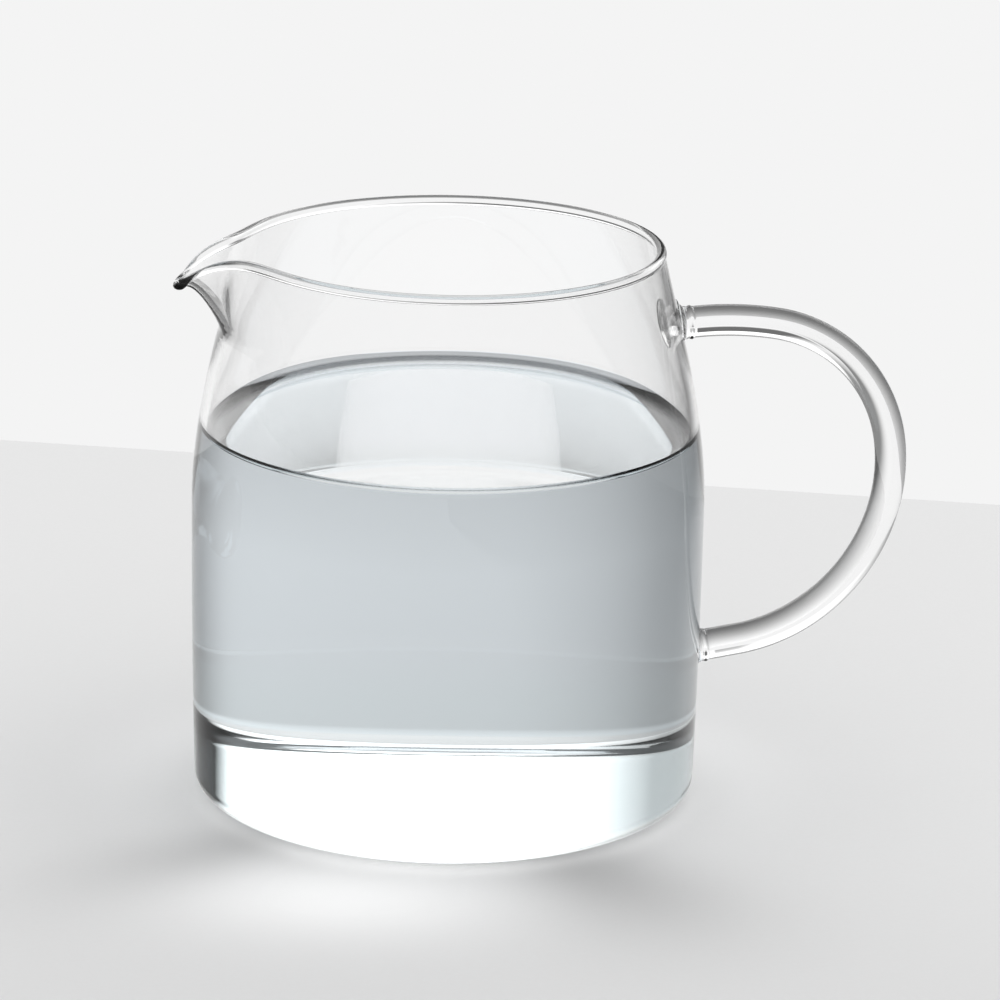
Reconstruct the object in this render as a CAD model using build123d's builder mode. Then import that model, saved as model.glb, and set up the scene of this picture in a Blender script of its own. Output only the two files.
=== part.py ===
"""Glass carafe: a thin blown jug with a pulled spout and a bent rod handle, and its water.

The jug stands on Z = 0 with its axis on Z. The spout points to -X and the handle to +X.
All sizes are in millimetres.
"""

from build123d import *
from math import cos, radians, sin, tan
import os

os.makedirs("parts", exist_ok=True)

# The outside of the jug, from the table upwards
base_radius = 56.7
base_corner = 7.0
belly_radius = 57.5
belly_height = 68.0
rim_radius = 47.1
rim_height = 127.0
rim_lean = 12.5

# The thickness of the glass
wall = 2.0
floor_thickness = 2.2
floor_corner = 5.2
rim_round = 0.85

# The spout: how far and how wide it is pulled, and the lip that rolls downwards
spout_height = 22.0
spout_reach = 27.5
spout_half_turn = 25.0
spout_shoulder = 21.0
spout_tip_width = 3.0
lip_roll = 15.5
lip_roll_start = 2.4
sections = 6

# The handle, one bent rod, fused to the wall at two flared feet
rod_diameter = 7.2
handle_drop = 20.2
handle_foot_height = 30.2
arm_length = 4.0
arm_rise = 3.8
arm_bend = 77.9
arm_turn = 14.1
grip_turn = 73.8
lower_bend_ratio = 1.186
foot_slope = 7.6
foot_diameter = 11.6
foot_flare = 2.3
seam_swell = 0.3
seam_width = 1.4

# The water inside, which climbs the glass at its edge
water_level = 85.0
meniscus_rise = 2.7
meniscus_run = 4.2


def side_radius(height):
    """Outside radius of the round wall at a height from the base's corner to the rim."""
    if height < belly_height:
        down = (belly_height - height) / (belly_height - base_corner)
        return belly_radius - (belly_radius - base_radius) * down**2
    climb = rim_height - belly_height
    along = (height - belly_height) / climb
    blend = along * along * (3 - 2 * along)
    lean = climb * tan(radians(rim_lean)) * along * along * (1 - along)
    return belly_radius + (rim_radius - belly_radius) * blend + lean


def side_points(low, inset):
    """Control points of the same wall, up to the belly and on to the rim, with an inset."""
    third = (rim_height - belly_height) / 3
    belly = (belly_radius - inset, belly_height)
    lower = [
        (side_radius(low) - inset, low),
        (belly_radius - inset, (low + belly_height) / 2),
        belly,
    ]
    shoulder = [
        belly,
        (belly_radius - inset, belly_height + third),
        (rim_radius - inset + third * tan(radians(rim_lean)), rim_height - third),
        (rim_radius - inset, rim_height),
    ]
    return lower, shoulder


def spout_outline(height, root, skin):
    """Outline of the jug at a height: round, with a tapering spout on -X above its root."""
    radius = side_radius(height) - wall + skin
    turn = radians(spout_half_turn)
    start = Vector(-radius * cos(turn), radius * sin(turn))
    end = Vector(start.X, -start.Y)
    if height > root:
        pulled = (height - root) / spout_height
        round_arm = radius * 4 / 3 * tan(turn / 4)
        arm = round_arm + (spout_shoulder - round_arm) * pulled
        tip_arm = round_arm + (spout_tip_width + skin / 2 - round_arm) * pulled
        tip = Vector(-radius - spout_reach * pulled**2, 0)
        inwards, across = Vector(-arm * sin(turn), 0), Vector(0, arm * cos(turn))
        Bezier(start, start + inwards - across, tip + Vector(0, tip_arm), tip)
        Bezier(tip, tip - Vector(0, tip_arm), end + inwards + across, end)
    else:
        CenterArc((0, 0), radius, 180 - spout_half_turn, spout_half_turn)
        CenterArc((0, 0), radius, 180, spout_half_turn)
    CenterArc((0, 0), radius, spout_half_turn - 180, 360 - 2 * spout_half_turn)


def jug_form(skin, bottom, corner):
    """The jug as a filled form: its outside has a skin of one wall, its hollow none."""
    inset = wall - skin
    root = rim_height - spout_height - 0.75 * skin
    with BuildPart() as form:
        with BuildSketch(Plane.XZ):
            lower_points, shoulder_points = side_points(bottom + corner, inset)
            with BuildLine():
                flat_end = side_radius(bottom + corner) - inset - corner
                under = Line((0, bottom), (flat_end, bottom))
                JernArc(under @ 1, (1, 0), corner, 90)
                Bezier(*lower_points)
                shoulder = Bezier(*shoulder_points)
                Polyline(shoulder @ 1, (0, rim_height), (0, bottom))
            make_face()
        revolve(axis=Axis.Z)
        split(bisect_by=Plane.XY.offset(root), keep=Keep.BOTTOM)
        top = rim_height + wall
        for section in range(sections + 1):
            height = root + (top - root) * section / sections
            with BuildSketch(Plane.XY.offset(height)):
                with BuildLine():
                    spout_outline(height, root, skin)
                make_face()
        loft()
    return form.part


outside = jug_form(wall, 0, base_corner)
hollow = jug_form(0, floor_thickness, floor_corner)

# The vessel: hollowed, trimmed to its rim and lip, and rounded there by fire polishing
far = 2 * belly_radius
lip_edge = -rim_radius - lip_roll_start
with BuildPart() as vessel:
    add(outside)
    add(hollow, mode=Mode.SUBTRACT)
    with BuildSketch(Plane.XZ):
        with BuildLine():
            crest = Line((far, rim_height), (lip_edge, rim_height))
            roll = JernArc(crest @ 1, (-1, 0), lip_roll, 90)
            low, high = rim_height - lip_roll, rim_height + lip_roll
            Polyline(roll @ 1, (-far, low), (-far, high), (far, high), crest @ 0)
        make_face()
    extrude(amount=far, both=True, mode=Mode.SUBTRACT)
    flat_top = vessel.faces().filter_by(GeomType.PLANE).sort_by(Axis.Z)[-1:]
    rolled_top = vessel.faces().filter_by(GeomType.CYLINDER)
    rim_edges = (flat_top + rolled_top).edges().filter_by(Axis.Y, reverse=True)
    fillet(rim_edges, rim_round)
vessel.part.label = "vessel"
export_step(vessel.part, "parts/vessel.step")


# The handle: a rod bent in one plane, in a slack arm, a tight grip and a wider lower bend
def bend_reach(slope, turn):
    """How far out and up a downward bend of radius 1 reaches, from a slope in degrees."""
    before, after = radians(slope), radians(slope - turn)
    return Vector(sin(before) - sin(after), 0, cos(after) - cos(before))


arm_height = rim_height - handle_drop
foot_radius = side_radius(handle_foot_height)
arm_place = Vector(side_radius(arm_height), 0, arm_height)
foot_place = Vector(foot_radius, 0, handle_foot_height)
grip_slope = arm_rise - arm_turn
lower_slope = grip_slope - grip_turn
lower_turn = 180 - foot_slope + lower_slope

# The grip's radius is the one that brings the rod down to the lower foot
arm_direction = Vector(cos(radians(arm_rise)), 0, sin(radians(arm_rise)))
arm_end = arm_place + arm_direction * arm_length
slack_end = arm_end + bend_reach(arm_rise, arm_turn) * arm_bend
lower_reach = bend_reach(lower_slope, lower_turn) * lower_bend_ratio
round_reach = bend_reach(grip_slope, grip_turn) + lower_reach
foot_normal = Vector(-sin(radians(foot_slope)), 0, cos(radians(foot_slope)))
grip_bend = (foot_place - slack_end).dot(foot_normal) / round_reach.dot(foot_normal)

with BuildLine(Plane.XZ) as spine:
    arm = Line(arm_place - arm_direction * wall, arm_end)
    slack = JernArc(arm @ 1, arm % 1, arm_bend, -arm_turn)
    grip = JernArc(slack @ 1, slack % 1, grip_bend, -grip_turn)
    lower = JernArc(grip @ 1, grip % 1, grip_bend * lower_bend_ratio, -lower_turn)
    foot_run = ((lower @ 1).X - foot_radius + wall) / cos(radians(foot_slope))
    foot = PolarLine(lower @ 1, foot_run, direction=lower % 1)


def foot_flare_at(place, outwards):
    """The swelling where the soft rod end was pressed on the wall, and its seam ring."""
    rod = rod_diameter / 2
    inside = -2 * wall
    seam_end = foot_flare + seam_width
    with BuildPart() as flare:
        with BuildSketch(Plane(origin=place, x_dir=outwards, z_dir=(0, -1, 0))):
            with BuildLine():
                press = Polyline((0, 0), (inside, 0), (inside, foot_diameter / 2))
                rest = Line(press @ 1, (0, foot_diameter / 2))
                TangentArc((foot_flare, rod), rest @ 1, tangent=(-1, 0))
                crown = (foot_flare + seam_width / 2, rod + seam_swell)
                ThreePointArc((foot_flare, rod), crown, (seam_end, rod))
                Polyline((seam_end, rod), (seam_end, 0), (0, 0))
            make_face()
        revolve(axis=Axis(place, outwards))
    return flare.part


with BuildPart() as handle:
    with BuildSketch(Plane(origin=arm @ 0, z_dir=arm % 0)):
        Circle(rod_diameter / 2)
    sweep(path=spine.line)
    add(foot_flare_at(arm_place, arm % 0))
    add(foot_flare_at(foot_place, -(foot % 1)))
    add(outside, mode=Mode.SUBTRACT)
handle.part.label = "handle"
export_step(handle.part, "parts/handle.step")


# The water: it fills the hollow to its level and climbs the glass in a small curve
shore_height = water_level + meniscus_rise
shore_radius = side_radius(shore_height) - wall
with BuildPart() as water:
    add(hollow)
    with BuildSketch(Plane.XZ):
        with BuildLine():
            surface = Line((0, water_level), (shore_radius - meniscus_run, water_level))
            TangentArc(surface @ 1, (shore_radius, shore_height), tangent=(1, 0))
            above = [(far, shore_height), (far, far + rim_height), (0, far + rim_height)]
            Polyline((shore_radius, shore_height), *above, (0, water_level))
        make_face()
    revolve(axis=Axis.Z, mode=Mode.SUBTRACT)
water.part.label = "water"
export_step(water.part, "parts/water.step")

print("glass, cubic cm", round((vessel.part.volume + handle.part.volume) / 1000, 1))
print("water, cubic cm", round(water.part.volume / 1000, 1))
print("handle bend", round(grip_bend, 2), "foot end", foot @ 1)
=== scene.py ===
# %% [markdown]
# # A blown glass jug with water in it
#
# The real object is one body of clear glass: a thin flat floor, a thin wall that tapers in
# at the shoulder, a rim rounded in the flame, a spout pulled from the rim while it was soft,
# and a bent glass rod for a handle. It stands on a pale table, about two thirds full.
#
# Clear glass has no colour of its own to look at. It shows the room, bent and turned over.
# So this lesson takes as much care with the walls' thickness and with what is bright and
# dark around the jug as with its outline.

# %% Load the frame
import bpy
from math import atan2, cos, pi, radians, sin, sqrt, tan
from mathutils import Matrix, Vector


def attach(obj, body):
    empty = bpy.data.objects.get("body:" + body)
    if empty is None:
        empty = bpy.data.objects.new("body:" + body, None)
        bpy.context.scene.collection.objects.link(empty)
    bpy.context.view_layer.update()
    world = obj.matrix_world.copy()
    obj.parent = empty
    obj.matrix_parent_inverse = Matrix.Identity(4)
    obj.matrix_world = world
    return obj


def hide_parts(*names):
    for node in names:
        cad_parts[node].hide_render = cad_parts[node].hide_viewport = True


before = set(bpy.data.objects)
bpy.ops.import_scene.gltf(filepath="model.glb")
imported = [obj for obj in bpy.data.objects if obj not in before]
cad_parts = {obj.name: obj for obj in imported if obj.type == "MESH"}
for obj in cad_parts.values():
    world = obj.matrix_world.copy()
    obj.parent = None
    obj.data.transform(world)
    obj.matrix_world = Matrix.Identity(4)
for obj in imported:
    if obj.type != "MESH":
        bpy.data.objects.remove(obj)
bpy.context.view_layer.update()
bpy.ops.object.select_all(action="DESELECT")

# %% [markdown]
# ## Sizes
#
# The jug stands on Z = 0 with its axis on Z, the spout on -X and the handle on +X. Its side
# swells a little up to the belly, then leans in to the rim in a soft S. The corners of the
# base are ellipses: CORNER is the height of one and RUN is its width.

# %% Sizes that the pieces share, in metres
MM = 0.001
BASE_RADIUS = 56.7 * MM
BASE_CORNER = 5.2 * MM
BASE_RUN = 7.0 * MM
BELLY_RADIUS = 57.5 * MM
BELLY_HEIGHT = 68.0 * MM
RIM_RADIUS = 47.1 * MM
RIM_HEIGHT = 127.0 * MM
RIM_LEAN = radians(12.5)
WALL = 2.0 * MM
FLOOR = 2.2 * MM
FLOOR_CORNER = 3.0 * MM
FLOOR_RUN = 5.0 * MM
WATER_LEVEL = 84.3 * MM
CLIMB = 2.3 * MM
WET_HEIGHT = WATER_LEVEL + CLIMB


def side_radius(height):
    """Outside radius of the round wall at a height from the base's corner to the rim."""
    if height < BELLY_HEIGHT:
        down = (BELLY_HEIGHT - height) / (BELLY_HEIGHT - BASE_CORNER)
        return BELLY_RADIUS - (BELLY_RADIUS - BASE_RADIUS) * down**2
    climb = RIM_HEIGHT - BELLY_HEIGHT
    along = (height - BELLY_HEIGHT) / climb
    blend = along * along * (3 - 2 * along)
    lean = climb * tan(RIM_LEAN) * along * along * (1 - along)
    return BELLY_RADIUS + (RIM_RADIUS - BELLY_RADIUS) * blend + lean


print("radius halfway up", round(side_radius(RIM_HEIGHT / 2) / MM, 2), "mm")

# %% [markdown]
# ## The camera
#
# A long lens far from the jug keeps its sides nearly parallel. The camera stands a little
# to the spout's side, so that the spout turns towards it, and looks down by about 17
# degrees. The small roll is the one that the table's edge shows.

# %% Place the camera
CAMERA_AWAY = 1.160
CAMERA_HEIGHT = 0.4129
CAMERA_SIDE = radians(12.0)
CAMERA_TURN = CAMERA_SIDE + radians(0.575)
CAMERA_DOWN = 16.56
CAMERA_ROLL = 1.155
LENS = 194.1
SENSOR = 36.0

bpy.ops.object.camera_add()
camera = bpy.context.object
camera.name = "product_camera"
camera.data.lens = LENS
camera.data.sensor_width = SENSOR
turn = Matrix.Rotation(-CAMERA_TURN, 4, "Z")
tilt = Matrix.Rotation(radians(90 - CAMERA_DOWN), 4, "X")
roll = Matrix.Rotation(radians(CAMERA_ROLL), 4, "Z")
camera.matrix_world = turn @ tilt @ roll
camera.location = (
    -CAMERA_AWAY * sin(CAMERA_SIDE),
    -CAMERA_AWAY * cos(CAMERA_SIDE),
    CAMERA_HEIGHT,
)
bpy.context.scene.camera = camera
print("lens", round(camera.data.lens, 1), "mm")

# %% [markdown]
# ## A desk for shader maths
#
# A shader's nodes are easier to read as sums. `Wire` holds one socket and overloads the
# operators, so `1 - mask` adds a Math node. Every other node comes from `Desk.node`.


# %% Wire and Desk
class Wire:
    """One output socket, with the operators that add Math nodes."""

    def __init__(self, desk, socket):
        self.desk = desk
        self.socket = socket

    def math(self, operation, first, second):
        return self.desk.node("ShaderNodeMath", {"operation": operation}, {0: first, 1: second})

    def __add__(self, other):
        return self.math("ADD", self, other)

    def __radd__(self, other):
        return self.math("ADD", other, self)

    def __sub__(self, other):
        return self.math("SUBTRACT", self, other)

    def __rsub__(self, other):
        return self.math("SUBTRACT", other, self)

    def __mul__(self, other):
        return self.math("MULTIPLY", self, other)

    def __truediv__(self, other):
        return self.math("DIVIDE", self, other)

    def __rpow__(self, other):
        return self.math("POWER", other, self)

    def above(self, limit):
        return self.math("GREATER_THAN", self, limit)

    def larger(self, other):
        return self.math("MAXIMUM", self, other)

    def smaller(self, other):
        return self.math("MINIMUM", self, other)

    def part(self, axis):
        return self.desk.node("ShaderNodeSeparateXYZ", {}, {0: self}, axis)


class Desk:
    """The node tree of one material or world, emptied."""

    def __init__(self, owner):
        owner.use_nodes = True
        self.tree = owner.node_tree
        self.tree.nodes.clear()

    def node(self, kind, settings=None, sockets=None, output=0):
        made = self.tree.nodes.new(kind)
        for name, value in (settings or {}).items():
            if name == "stops":
                self.set_stops(made.color_ramp, value)
            else:
                setattr(made, name, value)
        for key, value in (sockets or {}).items():
            if isinstance(value, Wire):
                self.tree.links.new(value.socket, made.inputs[key])
            else:
                made.inputs[key].default_value = value
        return Wire(self, made.outputs[output]) if made.outputs else None

    def set_stops(self, ramp, stops):
        while len(ramp.elements) < len(stops):
            ramp.elements.new(1.0)
        for element, (place, colour) in zip(ramp.elements, stops):
            element.position = place
            element.color = colour

    def blend(self, factor, first, second, how="MIX"):
        """Mix two colours by a factor."""
        return self.node(
            "ShaderNodeMix",
            {"data_type": "RGBA", "blend_type": how},
            {0: factor, 6: first, 7: second},
            2,
        )

    def light_path(self, output):
        """What kind of light path a point or a direction is seen along."""
        return self.node("ShaderNodeLightPath", output=output)

    def seen_in_glass(self):
        """1 where glass or polish shows it, and no matt surface lies between."""
        mirrored = self.light_path("Is Glossy Ray")
        through = self.light_path("Is Transmission Ray")
        matt_bounces = self.light_path("Diffuse Depth")
        return mirrored.larger(through) * (1 - matt_bounces.above(0.5))


def grey(level):
    """A neutral colour."""
    return (level, level, level, 1.0)


def material(name):
    """A new material and its desk."""
    made = bpy.data.materials.new(name)
    return made, Desk(made)


BLACK = grey(0.0)
WHITE = grey(1.0)
print("desk ready")

# %% [markdown]
# ## The room's light
#
# Glass is photographed in a bright field: a white sheet stands behind it, and the room
# above and to the sides is dark. The middle of the glass then shows white, and its edges,
# which bend the view sideways, are drawn in dark lines. The world here is that room, as a
# brightness for each direction: a ramp by bearing times a ramp by height. It could be built
# of lamps and cards, but a world is smoother and has no grain.

# %% A direction's bearing and height
AHEAD = (sin(CAMERA_TURN), cos(CAMERA_TURN))

world = bpy.data.worlds.new("studio_room")
bpy.context.scene.world = world
room = Desk(world)
view = room.node("ShaderNodeTexCoord", output="Generated")
ahead = view.part("X") * AHEAD[0] + view.part("Y") * AHEAD[1]
aside = view.part("X") * AHEAD[1] - view.part("Y") * AHEAD[0]
bearing = aside.math("ARCTAN2", aside, ahead) / radians(360) + 0.5
rise_angle = view.part("Z").math("ARCSINE", view.part("Z"), 0.0) / radians(90)


def bearing_ramp(levels):
    """Brightness by bearing in degrees: 0 straight behind the jug, + to the right."""
    stops = [(angle / 360 + 0.5, grey(level)) for angle, level in levels]
    return room.node("ShaderNodeValToRGB", {"stops": stops}, {0: bearing})


def rise_ramp(levels):
    """Brightness by the angle above the horizon in degrees."""
    stops = [(angle / 90, grey(level)) for angle, level in levels]
    return room.node("ShaderNodeValToRGB", {"stops": stops}, {0: rise_angle})


def dimmed(first, second):
    """One brightness times another."""
    return room.blend(1.0, first, second, "MULTIPLY")


print("straight ahead of the camera", [round(share, 3) for share in AHEAD])

# %% [markdown]
# The same direction is not equally bright to every ray. A ray that has crossed one wall
# or the rod, which is two surfaces, sees the near field: a broad white sheet and two dark
# cards, one low to the right and one straight behind, which the rod draws out into lines.
# A ray that has crossed both walls, with or without water between them, sees the far
# field, where the sheet is brighter. Totally reflected at the underside of the thin floor,
# that sheet is the white zone at the foot of the water. The black gap to its right is the
# dark wedge at the zone's left end, because the water turns left and right over.

# %% The near field and the far field
LOW_CARD = grey(0.3)
BACK_CARD = grey(0.15)
MANY_SURFACES = 2.5

walls = bearing_ramp(
    [
        (-180, 0.5),
        (-90, 0.5),
        (-50, 0.6),
        (-34, 1.0),
        (-22, 1.5),
        (40, 1.55),
        (60, 0.35),
        (180, 0.5),
    ]
)
upwards = rise_ramp([(0, 0.72), (9, 0.75), (15, 1.0), (32, 1.0), (46, 0.2), (90, 0.22)])
low_right = bearing_ramp([(-180, 0.0), (12, 0.0), (30, 1.0), (180, 1.0)])
low_right = low_right * rise_ramp([(0, 1.0), (9, 1.0), (14, 0.0)])
card = bearing_ramp([(-180, 0.0), (-3, 0.0), (0, 1.0), (10, 1.0), (16, 0.0)])
card = card * rise_ramp([(0, 0.0), (3, 1.0), (16.5, 1.0), (18, 0.0)])
near_field = room.blend(low_right, dimmed(walls, upwards), LOW_CARD)
near_field = room.blend(card, near_field, BACK_CARD)
far_walls = bearing_ramp(
    [
        (-180, 1.1),
        (-75, 1.1),
        (-55, 0.75),
        (-36, 0.7),
        (-28, 1.1),
        (-14, 2.0),
        (36, 2.0),
        (45, 0.05),
        (64, 0.05),
        (80, 1.1),
        (180, 1.1),
    ]
)
far_upwards = rise_ramp([(0, 0.8), (9, 0.8), (15, 1.0), (48, 1.0), (62, 0.4), (90, 0.3)])
shallow = 1 - room.light_path("Transmission Depth").above(MANY_SURFACES)
field = room.blend(shallow, dimmed(far_walls, far_upwards), near_field)
print("a far ray crosses more than", MANY_SURFACES, "surfaces")

# %% [markdown]
# The satin table reflects softly, and has a calmer field. The ray that it sends out is
# glossy but not singular, while a mirror image in glass is both. What lights matt things is
# a plain soft dome with a brighter side, because a room of dark cards would leave the table
# grey. And the camera itself sees an even white sheet.

# %% Join the fields in one world
SHEET_LEVEL = 0.905

satin_walls = bearing_ramp(
    [
        (-180, 0.45),
        (-60, 0.45),
        (-34, 0.55),
        (-20, 0.85),
        (-8, 1.05),
        (36, 1.15),
        (54, 0.55),
        (180, 0.4),
    ]
)
satin_field = dimmed(satin_walls, rise_ramp([(0, 1.0), (36, 1.0), (50, 0.25), (90, 0.25)]))
dome = bearing_ramp([(-180, 0.8), (-90, 0.75), (0, 1.1), (75, 1.45), (140, 1.0), (180, 0.8)])
softly = room.light_path("Is Glossy Ray") * (1 - room.light_path("Is Singular Ray"))
studio = room.blend(softly, field, satin_field)
light = room.blend(room.seen_in_glass(), dome, studio)
light = room.blend(room.light_path("Is Camera Ray"), light, grey(SHEET_LEVEL))
glow = room.node("ShaderNodeBackground", {}, {"Color": light, "Strength": 1.0})
room.node("ShaderNodeOutputWorld", {}, {"Surface": glow})
print("room", world.name)

# %% [markdown]
# ## The table
#
# The table is pale, and ends in a straight edge behind the jug. Past it there is only the
# white sheet. One large plane holds both: past the edge it glows white for the camera and
# for what glass and polish show of it, and gives no light of its own. In glass and polish
# the sheet is painted darker far to the right of the view: painted shade.

# %% One plane for the table and the sheet
PLANE_SIZE = 16.0
TABLE_GAP = 0.2 * MM
EDGE_ACROSS = (0.369, 0.929)
EDGE_AWAY = 0.2543

bpy.ops.mesh.primitive_plane_add(size=PLANE_SIZE, location=(0, 0, -TABLE_GAP))
table = bpy.context.object
table.name = "table_and_sheet"
bpy.ops.object.transform_apply(location=True, rotation=True, scale=True)

table_finish, desk = material("table_and_sheet")
place = desk.node("ShaderNodeTexCoord", output="Object")
away = place.part("X") * EDGE_ACROSS[0] + place.part("Y") * EDGE_ACROSS[1]
past_edge = away.above(EDGE_AWAY)
ahead = place.part("X") * AHEAD[0] + place.part("Y") * AHEAD[1]
across = place.part("X") * AHEAD[1] - place.part("Y") * AHEAD[0]
from_axis = desk.node("ShaderNodeVectorMath", {"operation": "LENGTH"}, {0: place}, "Value")
around = across.math("ARCTAN2", across, ahead * -1.0)


def hill(value, centre, width):
    """A soft hill, 1 at its centre and nearly 0 two widths from it."""
    off = (value - centre) / width
    return 2.718 ** (off * off * -1.0)


print("table edge", EDGE_AWAY, "m behind the jug")

# %% [markdown]
# The jug stands between the room's light and the table, and a renderer finds few of the
# paths that lead through all its surfaces. So light and shade are painted here: a soft
# painted shadow to both sides of the foot, painted shade that darkens the table towards the
# camera, and painted light that glows for the camera, in the bright patch that the water
# throws to the front, a faint light to both sides of the jug and a thin ring along the front
# of the foot. Each is a hill in the bearing around the jug, in the distance from its axis,
# or along and across the camera's view. A hill is given by its centre and its width.

# %% Paint the shadow and the light that the jug throws
LEFT_SHADOW = (radians(-47), radians(11))
LEFT_STRENGTH = 0.28
RIGHT_SHADOW = (radians(31), radians(15))
RIGHT_STRENGTH = 0.36
SHADOW_REACH = (55 * MM, 48 * MM)
FRONT_REACH = (0.0, 0.16)
FRONT_STRENGTH = 0.16
TABLE_GREYS = (grey(0.79), grey(0.81))
PATCH_ACROSS = (-0.02, 0.036)
PATCH_AHEAD = (-0.071, 0.026)
PATCH_STRENGTH = 0.29
SIDE_REACH = (64 * MM, 18 * MM)
SIDE_AHEAD = (0.03, 0.055)
SIDE_STRENGTH = 0.09
FOOT_REACH = (53 * MM, 5 * MM)
FOOT_AROUND = (0.0, 1.3)
FOOT_STRENGTH = 0.28

# Painted shadows to the left and right of the foot, fading away from the axis.
left_shadow = hill(around, *LEFT_SHADOW) * LEFT_STRENGTH
right_shadow = hill(around, *RIGHT_SHADOW) * RIGHT_STRENGTH
fade_out = hill(from_axis, *SHADOW_REACH)
# Painted shade: the table darkens far towards the camera.
painted_front_shade = 1 - (1 - hill(ahead.smaller(0.0), *FRONT_REACH)) * FRONT_STRENGTH
shade = (1 - (left_shadow + right_shadow) * fade_out) * painted_front_shade
speckle = desk.node("ShaderNodeTexNoise", {}, {"Vector": place, "Scale": 900.0, "Detail": 2.0})
top_colour = desk.blend(shade, BLACK, desk.blend(speckle, *TABLE_GREYS))
matt = desk.node("ShaderNodeBsdfDiffuse", {}, {"Color": top_colour})
# Painted light that glows for the camera: a patch before the jug, a faint light to its sides
# and a ring along the front of the foot.
patch = hill(across, *PATCH_ACROSS) * hill(ahead, *PATCH_AHEAD) * PATCH_STRENGTH
side_light = hill(from_axis, *SIDE_REACH) * hill(ahead, *SIDE_AHEAD) * SIDE_STRENGTH
foot_light = hill(from_axis, *FOOT_REACH) * hill(around, *FOOT_AROUND) * FOOT_STRENGTH
glowing = desk.blend(patch + side_light + foot_light, BLACK, WHITE)
glow = desk.node("ShaderNodeEmission", {}, {"Color": glowing, "Strength": 1.0})
lit = desk.node("ShaderNodeAddShader", {}, {0: matt, 1: glow})
print("patch of light", PATCH_AHEAD[0], "m before the jug's axis")

# %% [markdown]
# What glass shows of the table is satin: a sheen that reflects the room, on a matt ground
# that is painted far darker than the table the camera sees, as painted shade. Satin turns
# dark where one looks down on it steeply, which is what the rod's edges show. Far to the
# right of the view it is painted darker still, and its sheen is painted dimmer for a ray
# that has crossed many surfaces.

# %% Satin, for what glass shows of the table
CAMERA_OFF_AXIS = 0.0116
SIDE_VIEWS = (0.08, 0.19)
SIDE_LEVEL = 0.15
UNDER_GREYS = (grey(0.08), grey(0.17))
PAINTED_DEEP_DIMMING = 0.14
SATIN_ROUGHNESS = 0.3
SHEEN_GAIN = 1.5

sideways = (across - CAMERA_OFF_AXIS) / (ahead + CAMERA_AWAY).larger(0.1)
# Painted shade: what glass shows of the table and the sheet dims far to the right.
painted_side_dimming = desk.node(
    "ShaderNodeMapRange",
    {"interpolation_type": "SMOOTHSTEP"},
    {
        "Value": sideways,
        "From Min": SIDE_VIEWS[0],
        "From Max": SIDE_VIEWS[1],
        "To Min": 1.0,
        "To Max": SIDE_LEVEL,
    },
)
low_view = desk.node("ShaderNodeLayerWeight", {}, {"Blend": 0.5}, "Facing")
deep = desk.light_path("Transmission Depth").above(MANY_SURFACES)
# Painted shade: the matt ground is far darker than the table the camera sees.
under_colour = desk.blend(painted_side_dimming, *UNDER_GREYS)
under = desk.node("ShaderNodeBsdfDiffuse", {}, {"Color": under_colour})
# Painted shade: the sheen is dimmer for a ray that has crossed many surfaces.
sheen_colour = desk.blend(painted_side_dimming * (1 - deep * PAINTED_DEEP_DIMMING), BLACK, WHITE)
sheen_sockets = {"Color": sheen_colour, "Roughness": SATIN_ROUGHNESS}
sheen = desk.node("ShaderNodeBsdfGlossy", {}, sheen_sockets)
sheen_share = (low_view * low_view * SHEEN_GAIN).smaller(1.0)
satin = desk.node("ShaderNodeMixShader", {}, {0: sheen_share, 1: under, 2: sheen})
print("sheen roughness", SATIN_ROUGHNESS)

# %% [markdown]
# Water gathers light on the table under the jug, and one sees it from above, through the
# surface of the water. So a pool of even light is painted there, as a glow. It is seen from
# inside the glass only: within the foot, in a ring at the foot's edge, and where a ray that
# has crossed many surfaces comes down on the table steeply.

# %% A pool of light under the jug
UNDER_JUG = 55.0 * MM
FOOT_RING = (0.043, 0.061)
STEEP_VIEWS = (0.35, 0.6)
POOL_GREYS = (grey(0.72), grey(0.78))
SHEET_GREYS = (grey(0.14), grey(0.95))

slanting = desk.node(
    "ShaderNodeMapRange",
    {},
    {
        "Value": low_view,
        "From Min": STEEP_VIEWS[0],
        "From Max": STEEP_VIEWS[1],
        "To Min": 0.0,
        "To Max": 1.0,
    },
)
under_jug = (UNDER_JUG - from_axis).above(0.0)
foot_ring = from_axis.above(FOOT_RING[0]) * (FOOT_RING[1] - from_axis).above(0.0)
# Painted light: the pool glows, and only glass shows it.
pool_colour = desk.blend(under_jug, *POOL_GREYS)
pool = desk.node("ShaderNodeEmission", {}, {"Color": pool_colour, "Strength": 1.0})
pooled = (deep * (1 - slanting).larger(under_jug)).larger(foot_ring)
satin = desk.node("ShaderNodeMixShader", {}, {0: pooled, 1: satin, 2: pool})

seen = desk.light_path("Is Camera Ray")
in_glass = desk.seen_in_glass()
matt = desk.node("ShaderNodeMixShader", {}, {0: seen, 1: matt, 2: lit})
top = desk.node("ShaderNodeMixShader", {}, {0: in_glass, 1: matt, 2: satin})
# Glass sees the sheet past the edge painted darker far to the right.
sheet_colour = desk.blend(in_glass, grey(SHEET_LEVEL), desk.blend(painted_side_dimming, *SHEET_GREYS))
sheet = desk.node("ShaderNodeEmission", {}, {"Color": sheet_colour, "Strength": 1.0})
sheet_share = past_edge * seen.larger(in_glass)
both = desk.node("ShaderNodeMixShader", {}, {0: sheet_share, 1: top, 2: sheet})
desk.node("ShaderNodeOutputMaterial", {}, {"Surface": both})
table.data.materials.append(table_finish)
print("pool under the jug out to", round(UNDER_JUG / MM), "mm")

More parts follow.
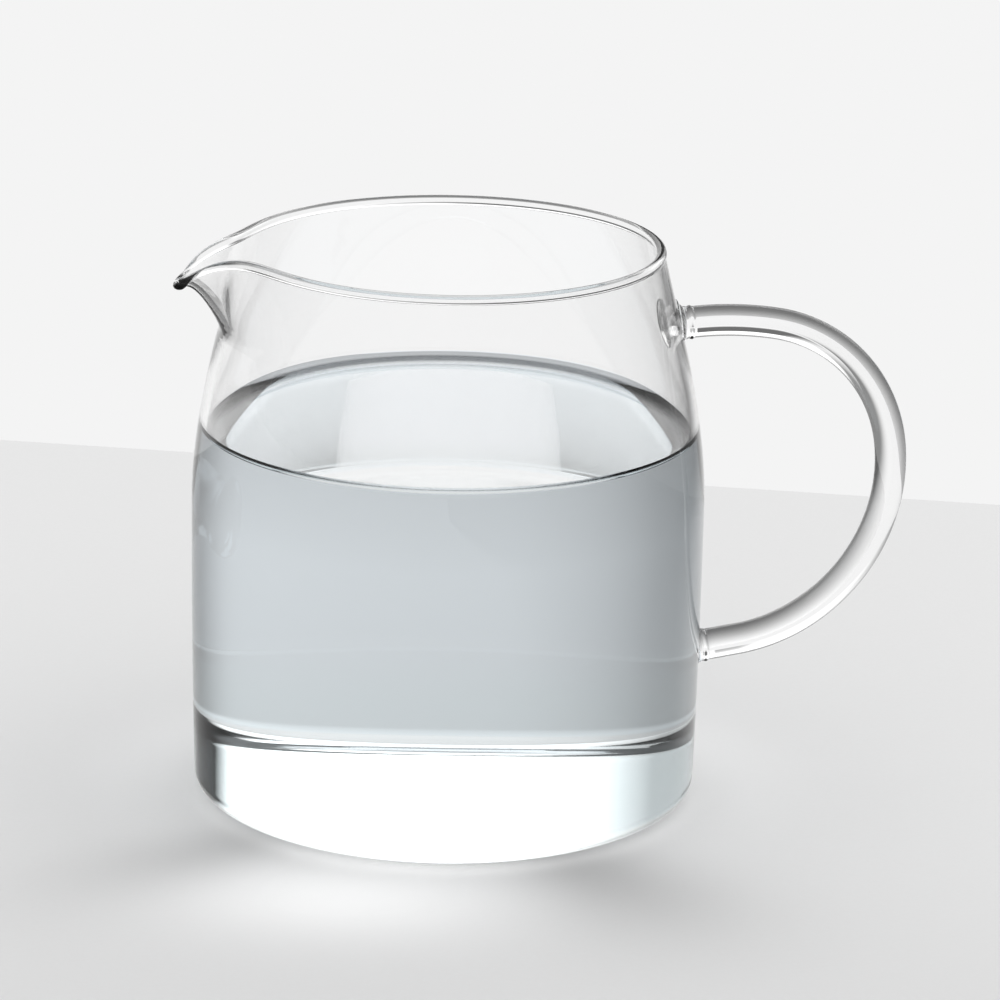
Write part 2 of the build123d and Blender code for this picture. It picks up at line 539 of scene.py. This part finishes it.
# %% [markdown]
# ## Finishes: clear glass and water
#
# Both are one Principled shader with full transmission. What makes the glass look blown
# and not moulded is a very slight waviness in its bump, and a faint green tint low down.
#
# Where water wets the glass, light passes from water to glass and not from air to glass.
# So those faces have the glass's index divided by the water's, and the water's own sides
# have the index 1: they bend nothing, and only carry the tint. The water's surface bends
# as water does, and its climb at the glass is painted dark: painted shade for the dark
# room that a meniscus shows.

# %% Clear glass
GLASS_IOR = 1.47
WATER_IOR = 1.333
TINT_TOP = 0.024
TINT_FADE = 0.012
FAINT_GREEN = (0.985, 1.0, 0.992, 1.0)
WAVE_DEPTH = 0.02 * MM
SMEAR_SCALE = 60.0
SMEAR_ROUGHNESS = 0.004


def clear_glass(name, wave_scale, outside=1.0):
    """Blown borosilicate glass: clear, faintly wavy, a breath of tint low down."""
    made, desk = material(name)
    place = desk.node("ShaderNodeTexCoord", output="Object")
    low = (TINT_TOP - place.part("Z")) / TINT_FADE
    colour = desk.blend(low.larger(0.0).smaller(1.0), WHITE, FAINT_GREEN)
    waves = desk.node(
        "ShaderNodeTexNoise", {}, {"Vector": place, "Scale": wave_scale, "Detail": 1.0}
    )
    smear = desk.node(
        "ShaderNodeTexNoise", {}, {"Vector": place, "Scale": SMEAR_SCALE, "Detail": 3.0}
    )
    bump = desk.node(
        "ShaderNodeBump", {}, {"Strength": 0.2, "Distance": WAVE_DEPTH, "Height": waves}
    )
    skin = desk.node(
        "ShaderNodeBsdfPrincipled",
        {},
        {
            "Base Color": colour,
            "Roughness": smear * SMEAR_ROUGHNESS,
            "IOR": GLASS_IOR / outside,
            "Transmission Weight": 1.0,
            "Normal": bump,
        },
    )
    desk.node("ShaderNodeOutputMaterial", {}, {"Surface": skin})
    return made


vessel_glass = clear_glass("blown_glass", 45.0)
wet_glass = clear_glass("wet_glass", 45.0, WATER_IOR)
rod_glass = clear_glass("rod_glass", 90.0)
print("glass refracts", GLASS_IOR)

# %% Still water
# Painted shade: a dark band up the water's climb at the glass.
PAINTED_CLIMB_BAND = (WATER_LEVEL + 0.05 * MM, WATER_LEVEL + 1.5 * MM)
AT_THE_FLOOR = (-0.01, 0.004)
BAND_EDGE = 0.4 * MM
PAINTED_CLIMB_SHADE = (0.13, 0.14, 0.15, 1.0)
SURFACE_COLOUR = (0.97, 0.98, 1.0, 1.0)
SIDE_COLOUR = (0.9, 0.96, 1.0, 1.0)


def still_water(name, bends, colour, band, band_colour):
    """Clear water, in another colour in a band between two heights."""
    made, desk = material(name)
    place = desk.node("ShaderNodeTexCoord", output="Object")
    stir = desk.node("ShaderNodeTexNoise", {}, {"Vector": place, "Scale": 30.0, "Detail": 1.0})
    height = place.part("Z")
    rising = ((height - band[0]) / BAND_EDGE).larger(0.0).smaller(1.0)
    falling = ((band[1] - height) / BAND_EDGE).larger(0.0).smaller(1.0)
    tone = desk.blend(rising * falling * (0.9 + stir * 0.2), colour, band_colour)
    body = desk.node(
        "ShaderNodeBsdfPrincipled",
        {},
        {"Base Color": tone, "Roughness": 0.0, "IOR": bends, "Transmission Weight": 1.0},
    )
    desk.node("ShaderNodeOutputMaterial", {}, {"Surface": body})
    return made


# The surface gets the painted dark band at its climb.
water_top = still_water("water_surface", WATER_IOR, SURFACE_COLOUR, PAINTED_CLIMB_BAND, PAINTED_CLIMB_SHADE)
water_body = still_water("water_against_glass", 1.0, SIDE_COLOUR, AT_THE_FLOOR, WHITE)
print("water refracts", WATER_IOR)

# %% [markdown]
# ## The vessel
#
# A blown jug is a surface of rotation, except for its spout. The line through the middle
# of its wall is drawn as one Bezier line, from the middle of the floor to the rim, and
# spun. Starting from the middle is useful, because the glass can then get its thickness
# to both sides, more or less of it from place to place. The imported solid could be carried
# over, but a spun line has even rings, and glass shows every uneven facet.

# %% Draw a line and spin it
ROUND_STEPS = 256
WELD = 0.02 * MM


def draw_line(name, points, steps):
    """A Bezier line through points, each given as place, handle before, handle after."""
    bpy.ops.curve.primitive_bezier_curve_add()
    line = bpy.context.object
    line.name = name
    spline = line.data.splines[0]
    spline.bezier_points.add(len(points) - 2)
    for knot, (place, before, after) in zip(spline.bezier_points, points):
        knot.handle_left_type = "FREE"
        knot.handle_right_type = "FREE"
        knot.co = (place[0], 0.0, place[1])
        knot.handle_left = (before[0], 0.0, before[1])
        knot.handle_right = (after[0], 0.0, after[1])
    line.data.resolution_u = steps
    bpy.ops.object.convert(target="MESH")
    return bpy.context.object


def spin_round(piece):
    """Spin the open line about the jug's axis and close the seam and the pole."""
    bpy.context.view_layer.objects.active = piece
    bpy.ops.object.mode_set(mode="EDIT")
    bpy.ops.mesh.select_all(action="SELECT")
    bpy.ops.mesh.spin(steps=ROUND_STEPS, angle=2 * pi, center=(0, 0, 0), axis=(0, 0, 1))
    bpy.ops.mesh.select_all(action="SELECT")
    bpy.ops.mesh.remove_doubles(threshold=WELD)
    bpy.ops.mesh.normals_make_consistent(inside=False)
    bpy.ops.object.mode_set(mode="OBJECT")


print("rings of", ROUND_STEPS, "points")

# %% [markdown]
# The profile is the same for any depth under the outside, so the middle of the wall and
# the water's side both come from one function. The line is cut at the water's edge, where
# the finish changes, and again just under the rim, where the bead needs more points.

# %% The jug's profile
ARC = 4 / 3 * (sqrt(2) - 1)
RIM_RUN = 3.4 * MM
PROFILE_STEPS = 24


def round_line(skin, floor, corner, run):
    """The jug's profile at a depth under its outside, from the axis to the rim."""
    start = floor + corner
    foot = side_radius(start) - skin
    flat = foot - run
    belly = BELLY_RADIUS - skin
    rim = RIM_RADIUS - skin
    low = (BELLY_HEIGHT - start) / 3
    rise = (RIM_HEIGHT - BELLY_HEIGHT) / 3
    swell = foot + (belly - foot) * 2 / 3
    return [
        ((0, floor), (0, floor), (flat / 3, floor)),
        ((flat, floor), (flat * 2 / 3, floor), (flat + ARC * run, floor)),
        ((foot, start), (foot, start - ARC * corner), (swell, start + low)),
        ((belly, BELLY_HEIGHT), (belly, BELLY_HEIGHT - low), (belly, BELLY_HEIGHT + rise)),
        ((rim, RIM_HEIGHT), (rim + rise * tan(RIM_LEAN), RIM_HEIGHT - rise), (rim, RIM_HEIGHT)),
    ]


def cut_line(knots, share):
    """Cut the last run of a Bezier line in two, at a share of it."""
    start, before, pull = (Vector(point) for point in knots[-2])
    end, push, after = (Vector(point) for point in knots[-1])
    first = start.lerp(pull, share)
    middle = pull.lerp(push, share)
    last = push.lerp(end, share)
    near = first.lerp(middle, share)
    far = middle.lerp(last, share)
    new_knot = (near.lerp(far, share), near, far)
    return knots[:-2] + [(start, before, first), new_knot, (end, last, after)]


middle_corner = (BASE_CORNER + FLOOR_CORNER) / 2
middle_run = (BASE_RUN + FLOOR_RUN) / 2
middle_line = round_line(WALL / 2, FLOOR / 2, middle_corner, middle_run)
middle_line = cut_line(middle_line, (WET_HEIGHT - BELLY_HEIGHT) / (RIM_HEIGHT - BELLY_HEIGHT))
middle_line = cut_line(middle_line, 1 - RIM_RUN / (RIM_HEIGHT - WET_HEIGHT))
vessel = draw_line("blown_vessel", middle_line, PROFILE_STEPS)
print("profile points", len(vessel.data.vertices))
spin_round(vessel)
print("faces of the middle surface", len(vessel.data.polygons))

# %% [markdown]
# The rim was rounded in a flame: the glass drew itself up into a bead a little thicker than
# the wall under it, which is thinner there than lower down. The bead draws the two fine
# dark lines that run all round the mouth. The thickness is written as a weight for each
# point, before the spout is pulled: the floor, the wall, and near the rim a half circle.

# %% Weigh the wall
BEAD = 1.15 * MM
THIN_WALL = 1.4 * MM
THINNING = 30.0 * MM
THICKEST = 2.3 * MM


def wall_at(height):
    """Thickness of the glass at a height of the round form."""
    if height < BASE_CORNER:
        flatness = min(1.0, max(0.0, (BASE_CORNER - height) / BASE_CORNER))
        return WALL + (FLOOR - WALL) * flatness
    below = RIM_HEIGHT - height
    thinned = max(0.0, 1 - below / THINNING)
    wall = WALL + (THIN_WALL - WALL) * thinned * thinned * (3 - 2 * thinned)
    if below > 2 * BEAD:
        return wall
    bead = 2 * sqrt(max(0.0, 2 * BEAD * below - below**2))
    if below < BEAD:
        return bead
    return max(bead, wall)


thickness = vessel.vertex_groups.new(name="thickness")
for point in vessel.data.vertices:
    thickness.add([point.index], wall_at(point.co.z) / THICKEST, "REPLACE")
print("thinnest wall", THIN_WALL / MM, "mm, bead", 2 * BEAD / MM, "mm")

# %% [markdown]
# The spout was pulled out of the soft rim with a tool, so the glass flows into it from
# all round: a narrow channel at the lip, wider below, and drawn down a little at its end.
# A smooth pull of the spun surface in code does just that, as a hand would with
# proportional editing. First the rings' points are drawn together near the spout, so that
# the tight channel gets fine facets.

# %% Pull the spout
SPOUT_ROOT = 108.87 * MM
SPOUT_REACH = 16.06 * MM
REACH_POWER = 1.104
SPOUT_HALF_WIDTH = 7.5 * MM
SPOUT_SPREAD = 4.0 * MM
LIP_DROP = 8.02 * MM
DROP_POWER = 1.372
LIP_SWELL = 7.0 * MM
ROOT_BLEND = 0.01
FAR_SIDE = 20 * MM
CROWDING = 0.6


def pull_spout(place):
    """Where a point of the round form goes when the spout is pulled to -X."""
    away = sqrt(place.x**2 + place.y**2)
    if away < MM:
        return place
    angle = atan2(place.y, -place.x)
    angle -= CROWDING * sin(angle)
    x, y = -away * cos(angle), away * sin(angle)
    raised = (place.z - SPOUT_ROOT) / (RIM_HEIGHT - SPOUT_ROOT)
    pulled = 0.5 * (raised + sqrt(raised**2 + ROOT_BLEND))
    half_width = SPOUT_HALF_WIDTH + SPOUT_SPREAD * max(0.0, 1 - pulled)
    share = 1 / (1 + (y / half_width) ** 2 / 2) ** 2
    if x > 0:
        share *= max(0.0, 1 - x / FAR_SIDE) ** 2
    out = SPOUT_REACH * share * pulled**REACH_POWER
    down = LIP_DROP * (share * pulled**DROP_POWER) ** 3
    up = LIP_SWELL * share * (1 - share) ** 4 * pulled**3
    return Vector((x - out, y, place.z - down + up))


for point in vessel.data.vertices:
    point.co = pull_spout(point.co)
print("spout reaches", round(min(v.co.x for v in vessel.data.vertices) / MM, 1), "mm")

# %% [markdown]
# The surface gets its thickness to both sides. Then the faces that look into the jug get
# the wet glass, up to the water's edge.

# %% Give the wall its thickness
MIDDLE_OF_JUG = Vector((0, 0, 60 * MM))
FINE_WELD = 0.004 * MM

solid = vessel.modifiers.new("wall", "SOLIDIFY")
solid.thickness = THICKEST
solid.offset = 0.0
solid.use_even_offset = True
solid.vertex_group = thickness.name
bpy.context.view_layer.objects.active = vessel
bpy.ops.object.modifier_apply(modifier=solid.name)
vessel.data.materials.clear()
vessel.data.materials.append(vessel_glass)
vessel.data.materials.append(wet_glass)
for face in vessel.data.polygons:
    looks_in = face.normal.dot(face.center - MIDDLE_OF_JUG) < 0
    if looks_in and face.center.z < WET_HEIGHT:
        face.material_index = 1
print("wet faces", sum(face.material_index for face in vessel.data.polygons))

# %% Close the rim and attach the vessel
bpy.ops.object.mode_set(mode="EDIT")
bpy.ops.mesh.select_all(action="SELECT")
bpy.ops.mesh.remove_doubles(threshold=FINE_WELD)
bpy.ops.mesh.select_all(action="DESELECT")
bpy.ops.object.mode_set(mode="OBJECT")
bpy.ops.object.shade_smooth()
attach(vessel, "root")
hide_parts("vessel")
bpy.ops.object.select_all(action="DESELECT")
low = min(point.co.z for point in vessel.data.vertices)
print("vessel faces", len(vessel.data.polygons), "stands at", round(low / MM, 3), "mm")

# %% [markdown]
# ## The handle
#
# The handle is one glass rod, bent in the flame and pressed on the wall while soft. A
# Bezier line with a round bevel is that rod exactly, and each point's radius can swell it
# where it was pressed. Each arc of the bend is split in short ones, which Bezier curves
# follow closely. The rod starts 1 mm inside the wall, so that no gap shows between them.

# %% Lay out the rod's line
ROD = 3.6 * MM
ARM_HEIGHT = 106.8 * MM
ARM_RISE = radians(3.8)
ARM_LENGTH = 4.0 * MM
FOOT_HEIGHT = 30.2 * MM
DEGREES_PER_ARC = 3

# Each bend's radius and its turn in degrees, from the upper arm to the foot
BENDS = [(77.9 * MM, 14.1), (34.13 * MM, 73.8), (40.48 * MM, 88.3)]

# Each point's distance out of the wall and the rod's radius there, in mm
FLARE = [(-1.0, 5.8), (0.0, 5.6), (0.5, 4.6), (1.2, 3.95), (2.3, 3.6), (3.0, 3.9), (3.7, 3.6)]

arm_place = Vector((side_radius(ARM_HEIGHT), 0, ARM_HEIGHT))
foot_place = Vector((side_radius(FOOT_HEIGHT), 0, FOOT_HEIGHT))


def heading(angle):
    """The direction in the handle's plane at an angle above +X."""
    return Vector((cos(angle), 0, sin(angle)))


rod_line = []
for out, size in FLARE:
    rod_line.append((arm_place + heading(ARM_RISE) * out * MM, size * MM))
here = arm_place + heading(ARM_RISE) * ARM_LENGTH
angle = ARM_RISE
rod_line.append((here, ROD))
for bend, degrees in BENDS:
    pieces = max(2, round(degrees / DEGREES_PER_ARC))
    turn_step = radians(degrees) / pieces
    for step in range(pieces):
        chord = 2 * bend * sin(turn_step / 2)
        here = here + heading(angle - turn_step / 2) * chord
        angle -= turn_step
        rod_line.append((here, ROD))
print("rod comes to", [round(v / MM, 2) for v in here])
foot_way = heading(angle)
for out, size in reversed(FLARE):
    rod_line.append((foot_place - foot_way * out * MM, size * MM))
print("foot at", [round(v / MM, 2) for v in foot_place], "rod points", len(rod_line))

# %% Bend the rod
CREASE = radians(50)

bpy.ops.curve.primitive_bezier_curve_add()
rod = bpy.context.object
rod.name = "rod_handle"
rod.data.dimensions = "3D"
spline = rod.data.splines[0]
spline.bezier_points.add(len(rod_line) - 2)
for knot, (place, size) in zip(spline.bezier_points, rod_line):
    knot.co = place
    knot.radius = size / ROD
    knot.handle_left_type = "AUTO"
    knot.handle_right_type = "AUTO"
rod.data.bevel_depth = ROD
rod.data.bevel_resolution = 14
rod.data.resolution_u = 4
rod.data.use_fill_caps = True
bpy.ops.object.convert(target="MESH")
rod = bpy.context.object
bpy.ops.object.mode_set(mode="EDIT")
bpy.ops.mesh.select_all(action="SELECT")
bpy.ops.mesh.remove_doubles(threshold=WELD)
bpy.ops.mesh.normals_make_consistent(inside=False)
bpy.ops.mesh.select_all(action="DESELECT")
bpy.ops.object.mode_set(mode="OBJECT")
bpy.ops.object.shade_smooth_by_angle(angle=CREASE)
rod.data.materials.clear()
rod.data.materials.append(rod_glass)
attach(rod, "root")
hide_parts("handle")
bpy.ops.object.select_all(action="DESELECT")
print("rod faces", len(rod.data.polygons))

# %% [markdown]
# ## The water
#
# Water fills the jug to two thirds and climbs the glass a little at its edge. Its line
# runs from the middle of the floor, up the wall and back over the surface to the axis. It
# is drawn a hair into the glass, so that no film of air lies between the two. Its sides
# and underside get the finish that bends nothing, and its surface the one that does.

# %% Lay out the water's line
CLIMB_RUN = 4.2 * MM
SINK = 0.2 * MM
SLOPE_STEP = 0.001 * MM

# Where the climb's handles lie, as shares of its run and of its height
EDGE_PULL = (0.15, 0.25)
LEVEL_PULL = 0.55

shore_away = side_radius(WET_HEIGHT) - WALL + SINK
third = (WET_HEIGHT - BELLY_HEIGHT) / 3
shore_slope = (side_radius(WET_HEIGHT) - side_radius(WET_HEIGHT - SLOPE_STEP)) / SLOPE_STEP
wet_line = round_line(WALL - SINK, FLOOR - SINK, FLOOR_CORNER, FLOOR_RUN)[:4]
belly_knot, belly_push, _ = wet_line[3]
wet_line[3] = (belly_knot, belly_push, (belly_knot[0], belly_knot[1] + third))
water_line = wet_line + [
    (
        (shore_away, WET_HEIGHT),
        (shore_away - shore_slope * third, WET_HEIGHT - third),
        (shore_away - EDGE_PULL[0] * CLIMB_RUN, WATER_LEVEL + EDGE_PULL[1] * CLIMB),
    ),
    (
        (shore_away - CLIMB_RUN, WATER_LEVEL),
        (shore_away - LEVEL_PULL * CLIMB_RUN, WATER_LEVEL),
        (shore_away * 2 / 3, WATER_LEVEL),
    ),
    ((0, WATER_LEVEL), (shore_away / 3, WATER_LEVEL), (0, WATER_LEVEL)),
]
print("water's edge", round(shore_away / MM, 2), "mm from the axis")

# %% Spin the water
WATER_STEPS = 20
FACES_DOWN = -0.5

water = draw_line("still_water", water_line, WATER_STEPS)
spin_round(water)
bpy.ops.object.shade_smooth_by_angle(angle=CREASE)
water.data.materials.clear()
water.data.materials.append(water_top)
water.data.materials.append(water_body)
for face in water.data.polygons:
    looks_out = face.center.x * face.normal.x + face.center.y * face.normal.y > 0
    face.material_index = 1 if looks_out or face.normal.z < FACES_DOWN else 0
print("faces against glass", sum(face.material_index for face in water.data.polygons))
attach(water, "root")
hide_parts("water")
bpy.ops.object.select_all(action="DESELECT")
print("water faces", len(water.data.polygons))

# %% View settings and the end
bpy.context.scene.view_settings.view_transform = "Standard"
